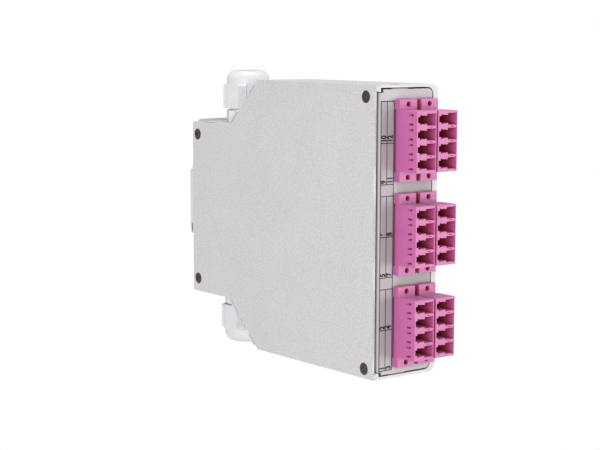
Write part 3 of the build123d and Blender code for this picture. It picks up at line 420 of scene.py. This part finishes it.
COVER_COAT = SpeckledCoat("cover_powder_coat", "ACAAAB", "D2D0D1", "F2F0F1", grain_mm=0.8, fleck_mm=1.5)
CASE_COAT = SpeckledCoat("case_powder_coat", "BFBDBE", "D0CECF", "EEECED")
# The panel's coat is painted darker between and behind the adapters: painted shade.
PANEL_COAT = SpeckledCoat("panel_powder_coat", "A8A4A6", "B6B2B4", "D2CFD0", shade="77726F")
LABEL_FILM = MouldedPlastic("label_film", "A59FA1", "AEA9AB", roughness=0.62)
LABEL_INK = MouldedPlastic("label_ink", "171415", "201C1D", roughness=0.7)
# The magenta's ports are painted darker and redder inside: painted shade.
MAGENTA = MouldedPlastic("magenta_polymer", "B54F93", "BF5A9C", roughness=0.45, scatter=0.12, sheen=0.25,
                         painted_cavity_shade="B20624")
POLYAMIDE = MouldedPlastic("pale_polyamide", "CDCBCF", "D6D4D8", roughness=0.42, scatter=0.15)
SLIP_RING = MouldedPlastic("white_acetal", "E8E8E6", "F0F0EE", roughness=0.3)
ELASTOMER = MouldedPlastic("black_elastomer", "1C1C1D", "262627", roughness=0.6)
TRAY_PLASTIC = MouldedPlastic("grey_tray_plastic", "B9BBBE", "C3C5C8", roughness=0.42)
CERAMIC = MouldedPlastic("zirconia_ceramic", "F1F0EC", "F8F7F4", roughness=0.2, ior=2.1)
CLEAR = ClearPlastic("clear_polycarbonate", "E9F0F3")
ZINC = PlatedSteel("zinc_plate", "C8CBCF", "DDDFE2")
BRIGHT = PlatedSteel("bright_zinc", "EFF0F3", "FBFBFC", roughness=0.34)
SPRING = PlatedSteel("spring_steel", "B9BBBF", "CFD1D4", roughness=0.24)
# The black screws' drive recesses are painted lighter: a painted highlight.
BLACK_SCREW = PlatedSteel("black_zinc", "46413F", "6A6360", roughness=0.4, painted_recess_highlight="B5AAA8")
STEEL_SCREW = PlatedSteel("steel_screw", "77777B", "8D8D91", roughness=0.36)


class Workshop:
    """Shared ways to make, finish and place pieces."""

    def __init__(self) -> None:
        """Starts with no materials made."""
        self.made: dict[str, bpy.types.Material] = {}

    def coat(self, obj: bpy.types.Object, finish: Finish) -> None:
        """Gives an object one finish all over.

        Args:
            obj: the piece or CAD node.
            finish: its looks.
        """
        if finish.name not in self.made:
            self.made[finish.name] = finish.material()
        if not obj.material_slots:
            obj.data.materials.append(None)
        for slot in obj.material_slots:
            slot.material = self.made[finish.name]

    @staticmethod
    def select(obj: bpy.types.Object) -> None:
        """Selects one object alone and makes it active.

        Args:
            obj: the object.
        """
        bpy.ops.object.select_all(action="DESELECT")
        obj.select_set(True)
        bpy.context.view_layer.objects.active = obj

    def settle(self, obj: bpy.types.Object, body: str, slot: str, finish: Finish) -> None:
        """Applies an object's place to its mesh, and names its body and finish.

        Args:
            obj: the finished piece.
            body: the CAD body that it rides on.
            slot: the record's material slot; not used.
            finish: its looks.
        """
        self.select(obj)
        bpy.ops.object.transform_apply(location=True, rotation=True, scale=True)
        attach(obj, body)
        self.coat(obj, finish)
        LOG.info("piece %s rides on %s", obj.name, body)

    def soften(self, node: str, edge: Edge, finish: Finish,
               smooth_deg: float = SMOOTH_DEG) -> bpy.types.Object:
        """Replaces a CAD node by a merged copy whose sharp edges are rounded.

        Args:
            node: the CAD node's name.
            edge: how far its edges are rounded.
            finish: its looks.
            smooth_deg: faces that meet under this angle are shaded as one surface.

        Returns:
            The new piece.
        """
        source = frame["nodes"][node]
        piece = bpy.data.objects.new(f"{node}_skin", source.data.copy())
        bpy.context.scene.collection.objects.link(piece)
        self.select(piece)
        bpy.ops.object.mode_set(mode="EDIT")
        bpy.ops.mesh.select_all(action="SELECT")
        bpy.ops.mesh.customdata_custom_splitnormals_clear()
        bpy.ops.mesh.remove_doubles(threshold=WELD_M)
        bpy.ops.mesh.dissolve_limited(angle_limit=math.radians(FLAT_DEG))
        bpy.ops.object.mode_set(mode="OBJECT")
        bevel = piece.modifiers.new("edge_round", "BEVEL")
        bevel.width = edge.value * MM
        bevel.segments = EDGE_STEPS
        bevel.limit_method = "ANGLE"
        bevel.angle_limit = math.radians(smooth_deg)
        bevel.use_clamp_overlap = True
        bpy.ops.object.modifier_apply(modifier=bevel.name)
        bpy.ops.object.shade_smooth_by_angle(angle=math.radians(smooth_deg))
        weigh = piece.modifiers.new("flat_faces_first", "WEIGHTED_NORMAL")
        weigh.mode = "FACE_AREA"
        weigh.keep_sharp = True
        bpy.ops.object.modifier_apply(modifier=weigh.name)
        record = frame["record"]
        body = next(name for name, nodes in record["behaviour"]["bodies"].items() if node in nodes)
        slot = next(part["material_slot"] for part in record["subparts"] if part["node"] == node)
        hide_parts(node)
        self.settle(piece, body, slot, finish)
        return piece


@dataclass
class SheetCase:
    """The folded case: tray, cover, front panel and their screws.

    The rim's folded hem is hem_mm wide beside the panel and hem_depth_mm deep, and it reaches hem_reach_mm
    inwards at its ends. Its outer faces are sunk into the walls by sunk_mm.
    """

    shop: Workshop
    sheet_mm: float = 1.25
    hem_mm: float = 1.3
    hem_depth_mm: float = 3.0
    hem_reach_mm: float = 4.5
    hem_round_mm: float = 3.3
    wall_round_mm: float = 2.3
    round_steps: int = 8
    sunk_mm: float = 0.1

    def build(self) -> None:
        """Dresses the case's sheets, nuts and screws."""
        self.hem()
        self.shop.soften("housing", Edge.FOLDED_SHEET, CASE_COAT)
        self.shop.soften("side_cover", Edge.FOLDED_SHEET, COVER_COAT)
        self.shop.soften("front_panel", Edge.BLANKED_SHEET, PANEL_COAT)
        self.shop.soften("cover_screws", Edge.TURNED, BLACK_SCREW)
        self.shop.soften("panel_screws", Edge.TURNED, BLACK_SCREW)
        self.shop.soften("foot_screws", Edge.TURNED, STEEL_SCREW)
        self.shop.coat(frame["nodes"]["press_nuts"], ZINC)
        self.shop.coat(frame["nodes"]["cable_bracket"], ZINC)

    def hem(self) -> None:
        """Makes the folded hem inside the right wall's front rim, with the wall's rounded corners."""
        low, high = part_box("housing")
        front, right = low.y, high.x - self.sheet_mm * MM
        sunk, tall = self.sunk_mm * MM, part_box("front_panel")
        bottom, top = tall[0].z, tall[1].z
        reach, depth = self.hem_reach_mm * MM, self.hem_depth_mm * MM
        rim = self.bar("case_rim_hem", (right - reach, front + sunk, bottom - sunk),
                       (right + sunk, front + depth, top + sunk), self.wall_round_mm)
        space = self.bar("hem_space", (right - 2 * reach, front - depth, bottom),
                         (right - self.hem_mm * MM, front + 2 * depth, top), self.hem_round_mm)
        cut = rim.modifiers.new("inner_side", "BOOLEAN")
        cut.object = space
        cut.solver = "EXACT"
        self.shop.select(rim)
        bpy.ops.object.modifier_apply(modifier=cut.name)
        bpy.data.objects.remove(space)
        bpy.ops.object.shade_smooth_by_angle(angle=math.radians(SMOOTH_DEG))
        self.shop.settle(rim, "box", "powder_coat", CASE_COAT)

    def bar(self, name: str, low: tuple[float, float, float], high: tuple[float, float, float],
            round_mm: float) -> bpy.types.Object:
        """Makes a box whose two right-hand edges along Y are rounded.

        Args:
            name: the piece's name.
            low: its lowest corner, in metres.
            high: its highest corner, in metres.
            round_mm: the edges' radius, in millimetres.

        Returns:
            The new box.
        """
        low, high = Vector(low), Vector(high)
        bpy.ops.object.select_all(action="DESELECT")
        bpy.ops.mesh.primitive_cube_add(size=1.0, location=(low + high) / 2)
        bar = bpy.context.object
        bar.name = name
        bar.scale = high - low
        bpy.ops.object.transform_apply(location=True, rotation=True, scale=True)
        weight = bar.data.attributes.new("bevel_weight_edge", "FLOAT", "EDGE")
        for edge in bar.data.edges:
            ends = [bar.data.vertices[i].co for i in edge.vertices]
            on_right = all(abs(end.x - high.x) < SAME_PLACE_M for end in ends)
            along_y = abs(ends[0].y - ends[1].y) > SAME_PLACE_M
            weight.data[edge.index].value = float(on_right and along_y)
        bevel = bar.modifiers.new("corner_round", "BEVEL")
        bevel.width = round_mm * MM
        bevel.segments = self.round_steps
        bevel.limit_method = "WEIGHT"
        self.shop.select(bar)
        bpy.ops.object.modifier_apply(modifier=bevel.name)
        return bar


@dataclass
class PrintedLabel:
    """Printed grid with plain numbers on the strip beside the adapters.

    Each of the three blocks has two rows of two cells. A row of blocks_mm holds the heights of a block's
    upper, middle and lower lines. A row of numbers holds its cells from left to right, the upper ones first.
    """

    shop: Workshop
    columns_mm: tuple[float, ...] = (-14.85, -11.5, -7.75)
    blocks_mm: tuple[tuple[float, float, float], ...] = (
        (52.2, 34.6, 17.1),
        (12.1, -5.3, -22.7),
        (-27.8, -45.4, -63.0),
    )
    numbers: tuple[tuple[str, ...], ...] = (
        ("10", "12", "9", "11"),
        ("6", "8", "5", "7"),
        ("2", "4", "1", "3"),
    )
    line_mm: float = 0.36
    ink_mm: float = 0.02
    digit_mm: float = 3.8
    digit_squeeze: float = 0.76
    digit_weight_mm: float = 0.2
    digit_from_bottom_mm: float = 0.45
    face: float = field(init=False, default=0.0)

    def build(self) -> None:
        """Makes the strip's finish, its lines and its numbers."""
        self.shop.soften("label_strip", Edge.TURNED, LABEL_FILM)
        self.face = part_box("label_strip")[0].y
        top, bottom = self.blocks_mm[0][0], self.blocks_mm[-1][-1]
        for number, x in enumerate(self.columns_mm[::2], 1):
            self.line(f"label_side_line_{number}", x, x, bottom, top)
        for block, (high, middle, low) in enumerate(self.blocks_mm, 1):
            self.line(f"label_middle_line_{block}", self.columns_mm[1], self.columns_mm[1], low, high)
            for row, z in enumerate((high, middle, low), 1):
                self.line(f"label_row_line_{block}_{row}", self.columns_mm[0], self.columns_mm[2], z, z)
            for cell, text in enumerate(self.numbers[block - 1]):
                column = cell % 2
                x = (self.columns_mm[column] + self.columns_mm[column + 1]) / 2
                z = (middle if cell < 2 else low) + self.digit_from_bottom_mm
                self.number(f"label_number_{text}", text, x, z)

    def line(self, name: str, x0: float, x1: float, z0: float, z1: float) -> None:
        """Makes one printed line as a thin raised film of ink.

        Args:
            name: the piece's name.
            x0: left end in millimetres.
            x1: right end in millimetres.
            z0: lower end in millimetres.
            z1: upper end in millimetres.
        """
        width, height = x1 - x0 + self.line_mm, z1 - z0 + self.line_mm
        centre = Vector(((x0 + x1) / 2 * MM, self.face - self.ink_mm * MM, (z0 + z1) / 2 * MM))
        bpy.ops.mesh.primitive_plane_add(size=1.0, location=centre, rotation=(math.pi / 2, 0, 0))
        stroke = bpy.context.object
        stroke.name = name
        stroke.scale = (width * MM, height * MM, 1.0)
        bpy.ops.object.transform_apply(location=True, rotation=True, scale=True)
        bpy.ops.object.mode_set(mode="EDIT")
        bpy.ops.mesh.select_all(action="SELECT")
        bpy.ops.mesh.extrude_region_move(TRANSFORM_OT_translate={"value": (0, self.ink_mm * MM, 0)})
        bpy.ops.mesh.select_all(action="SELECT")
        bpy.ops.mesh.normals_make_consistent(inside=False)
        bpy.ops.object.mode_set(mode="OBJECT")
        self.shop.settle(stroke, "box", "label_film", LABEL_INK)

    def number(self, name: str, text: str, x: float, z: float) -> None:
        """Makes one printed number that reads upwards.

        Args:
            name: the piece's name.
            text: the digits.
            x: centre of the digits' height, in millimetres.
            z: where the number starts, in millimetres.
        """
        bpy.ops.object.select_all(action="DESELECT")
        bpy.ops.object.text_add(location=(0, 0, 0))
        digits = bpy.context.object
        digits.name = name
        digits.data.body = text
        digits.data.size = self.digit_mm * MM
        digits.data.offset = self.digit_weight_mm * MM
        digits.data.extrude = self.ink_mm * MM / 2
        digits.data.align_x = "LEFT"
        digits.data.align_y = "CENTER"
        bpy.ops.object.convert(target="MESH")
        place = Matrix.Translation((x * MM, self.face - self.ink_mm * MM / 2, z * MM))
        upright = Matrix.Rotation(math.pi / 2, 4, "X") @ Matrix.Rotation(math.pi / 2, 4, "Z")
        squeeze = Matrix.Diagonal((self.digit_squeeze, 1.0, 1.0, 1.0))
        digits.matrix_world = place @ upright @ squeeze
        self.shop.settle(digits, "box", "label_film", LABEL_INK)


@dataclass
class AdapterBank:
    """Six quad adapters with their sleeves and clips."""

    shop: Workshop
    count: int = 6

    def build(self) -> None:
        """Dresses each adapter with its inner pieces."""
        for number in range(1, self.count + 1):
            self.shop.soften(f"adapter_{number}", Edge.MOULDED, MAGENTA)
            self.shop.coat(frame["nodes"][f"adapter_sleeves_{number}"], CERAMIC)
            self.shop.coat(frame["nodes"][f"adapter_clip_{number}"], SPRING)


@dataclass
class CableGlands:
    """Two polyamide glands with their seals, rings and lock nuts."""

    shop: Workshop
    places: tuple[str, ...] = ("top", "bottom")
    facet_deg: float = 24.0

    def build(self) -> None:
        """Dresses each gland's pieces."""
        for place in self.places:
            self.shop.soften(f"gland_{place}_cap_nut", Edge.THICK_MOULDED, POLYAMIDE, self.facet_deg)
            self.shop.soften(f"gland_{place}_body", Edge.THICK_MOULDED, POLYAMIDE, self.facet_deg)
            self.shop.soften(f"gland_{place}_lock_nut", Edge.THICK_MOULDED, POLYAMIDE)
            self.shop.soften(f"gland_{place}_pressure_ring", Edge.TURNED, SLIP_RING)
            self.shop.soften(f"gland_{place}_seal", Edge.TURNED, ELASTOMER)


@dataclass
class RailClip:
    """Foot, latch and spring that hold the box on its rail."""

    shop: Workshop
    wire_mm: float = 0.28
    end_gap_mm: float = 0.05
    turns: int = 9
    closed_turns: float = 1.0
    steps_per_turn: int = 32
    wire_steps: int = 4

    def build(self) -> None:
        """Dresses the foot, latch and spring."""
        self.shop.soften("rail_foot", Edge.FOLDED_SHEET, BRIGHT)
        self.shop.soften("rail_latch", Edge.BLANKED_SHEET, BRIGHT)
        self.spring()

    def spring(self) -> None:
        """Winds the latch's spring with closed ends."""
        low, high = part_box("latch_spring")
        centre, wire = (low + high) / 2, self.wire_mm * MM
        radius = (high.x - low.x) / 2 - wire
        bottom, top = low.z + wire, high.z - wire - self.end_gap_mm * MM
        curve = bpy.data.curves.new("latch_spring_coil", "CURVE")
        curve.dimensions = "3D"
        curve.bevel_depth = wire
        curve.bevel_resolution = self.wire_steps
        curve.use_fill_caps = True
        line = curve.splines.new("POLY")
        count = self.turns * self.steps_per_turn
        line.points.add(count)
        closed, lift = self.closed_turns, 2 * wire
        for i, point in enumerate(line.points):
            turn = i / self.steps_per_turn
            rise = min(turn, closed) / closed * lift
            rise += max(0.0, turn - self.turns + closed) / closed * lift
            open_part = min(max(turn - closed, 0.0) / (self.turns - 2 * closed), 1.0)
            rise += open_part * (top - bottom - 2 * lift)
            angle = 2 * math.pi * turn
            x, y = centre.x + radius * math.cos(angle), centre.y + radius * math.sin(angle)
            point.co = (x, y, bottom + rise, 1.0)
        coil = bpy.data.objects.new("latch_spring_coil", curve)
        bpy.context.scene.collection.objects.link(coil)
        self.shop.select(coil)
        bpy.ops.object.convert(target="MESH")
        coil = bpy.context.object
        bpy.ops.object.shade_smooth()
        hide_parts("latch_spring")
        self.shop.settle(coil, "box", "spring_steel", SPRING)
        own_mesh(coil)


@dataclass
class FibreTray:
    """Splice tray, lid, combs, pillars and screws inside the case."""

    shop: Workshop

    def build(self) -> None:
        """Dresses the tray's pieces."""
        for node in ("splice_tray", "splice_comb_1", "splice_comb_2"):
            self.shop.coat(frame["nodes"][node], TRAY_PLASTIC)
        self.shop.coat(frame["nodes"]["tray_lid"], CLEAR)
        self.shop.coat(frame["nodes"]["tray_pillars"], ZINC)
        self.shop.coat(frame["nodes"]["tray_screws"], STEEL_SCREW)


@dataclass(frozen=True)
class SoftBox:
    """One square soft light: its name, its place and side in metres, and its power in watts."""

    name: str
    place: tuple[float, float, float]
    side: float
    watts: float


@dataclass
class Studio:
    """Camera at the photograph's viewing angle, soft lights and a white sweep far below the box."""

    camera_mm: tuple[float, float, float] = (-436.83, -627.79, 79.81)
    yaw_deg: float = 37.84
    pitch_deg: float = 7.053
    roll_deg: float = 0.155
    lens_mm: float = 92.16
    sensor_mm: float = 36.0
    near_m: float = 0.01
    floor_mm: float = -320.0
    floor_side_m: float = 12.0
    room_light: float = 0.52
    floor_light: float = 0.8
    aim_m: tuple[float, float, float] = (0.0, -0.06, 0.0)
    lamps: tuple[SoftBox, ...] = (
        SoftBox("side_box", (-1.15, -0.75, 0.05), 0.8, 11.5),
        SoftBox("front_box", (0.72, -1.05, -0.1), 0.55, 7.6),
        SoftBox("top_box", (0.0, -0.1, 1.3), 0.9, 12.5),
    )

    def build(self) -> None:
        """Makes the camera, the world, the lights and the floor."""
        data = bpy.data.cameras.new("camera")
        data.lens = self.lens_mm
        data.sensor_width = self.sensor_mm
        data.clip_start = self.near_m
        camera = bpy.data.objects.new("camera", data)
        bpy.context.scene.collection.objects.link(camera)
        turn = Matrix.Rotation(-math.radians(self.yaw_deg), 4, "Z")
        tilt = Matrix.Rotation(math.radians(90.0 - self.pitch_deg), 4, "X")
        roll = Matrix.Rotation(math.radians(self.roll_deg), 4, "Z")
        camera.matrix_world = Matrix.Translation(Vector(self.camera_mm) * MM) @ turn @ tilt @ roll
        bpy.context.scene.camera = camera
        bpy.context.scene.view_settings.view_transform = "Standard"
        self.world()
        for lamp in self.lamps:
            self.light(lamp)
        self.floor()

    def world(self) -> None:
        """Makes the surroundings: plain white to look at, and a dimmer room in what they light."""
        world = bpy.data.worlds.new("white_room")
        bpy.context.scene.world = world
        world.use_nodes = True
        tree = world.node_tree
        tree.nodes.clear()
        seen = add_node(tree, "ShaderNodeLightPath").outputs["Is Camera Ray"]
        strength = remap(tree, seen, UNIT, (self.room_light, 1.0))
        background = add_node(tree, "ShaderNodeBackground", {"Color": WHITE, "Strength": strength})
        add_node(tree, "ShaderNodeOutputWorld", {"Surface": background.outputs[0]})

    def light(self, lamp: SoftBox) -> None:
        """Adds a square soft light aimed at the box.

        Args:
            lamp: its name, place, side and power.
        """
        data = bpy.data.lights.new(lamp.name, "AREA")
        data.size = lamp.side
        data.energy = lamp.watts
        light = bpy.data.objects.new(lamp.name, data)
        light.location = lamp.place
        aim = Vector(self.aim_m) - Vector(lamp.place)
        light.rotation_euler = aim.to_track_quat("-Z", "Y").to_euler()
        bpy.context.scene.collection.objects.link(light)

    def floor(self) -> None:
        """Makes the floor: white to look at, and a dimmer light from below."""
        bpy.ops.mesh.primitive_plane_add(size=self.floor_side_m, location=(0, 0, self.floor_mm * MM))
        floor = bpy.context.object
        floor.name = "floor"
        material, tree = new_tree("white_floor")
        seen = add_node(tree, "ShaderNodeLightPath").outputs["Is Camera Ray"]
        glow = remap(tree, seen, UNIT, (self.floor_light, 1.0))
        shader = add_node(tree, "ShaderNodeEmission", {"Color": WHITE, "Strength": glow})
        add_node(tree, "ShaderNodeOutputMaterial", {"Surface": shader.outputs[0]})
        floor.data.materials.append(material)


def main() -> None:
    """Builds the box's looks in order."""
    logging.basicConfig(level=logging.INFO, format="%(name)s: %(message)s")
    shop = Workshop()
    assemblies = (SheetCase(shop), PrintedLabel(shop), AdapterBank(shop), CableGlands(shop), RailClip(shop),
                  FibreTray(shop), Studio())
    for assembly in assemblies:
        LOG.info("building %s", type(assembly).__name__)
        assembly.build()


if __name__ == "__main__":
    main()
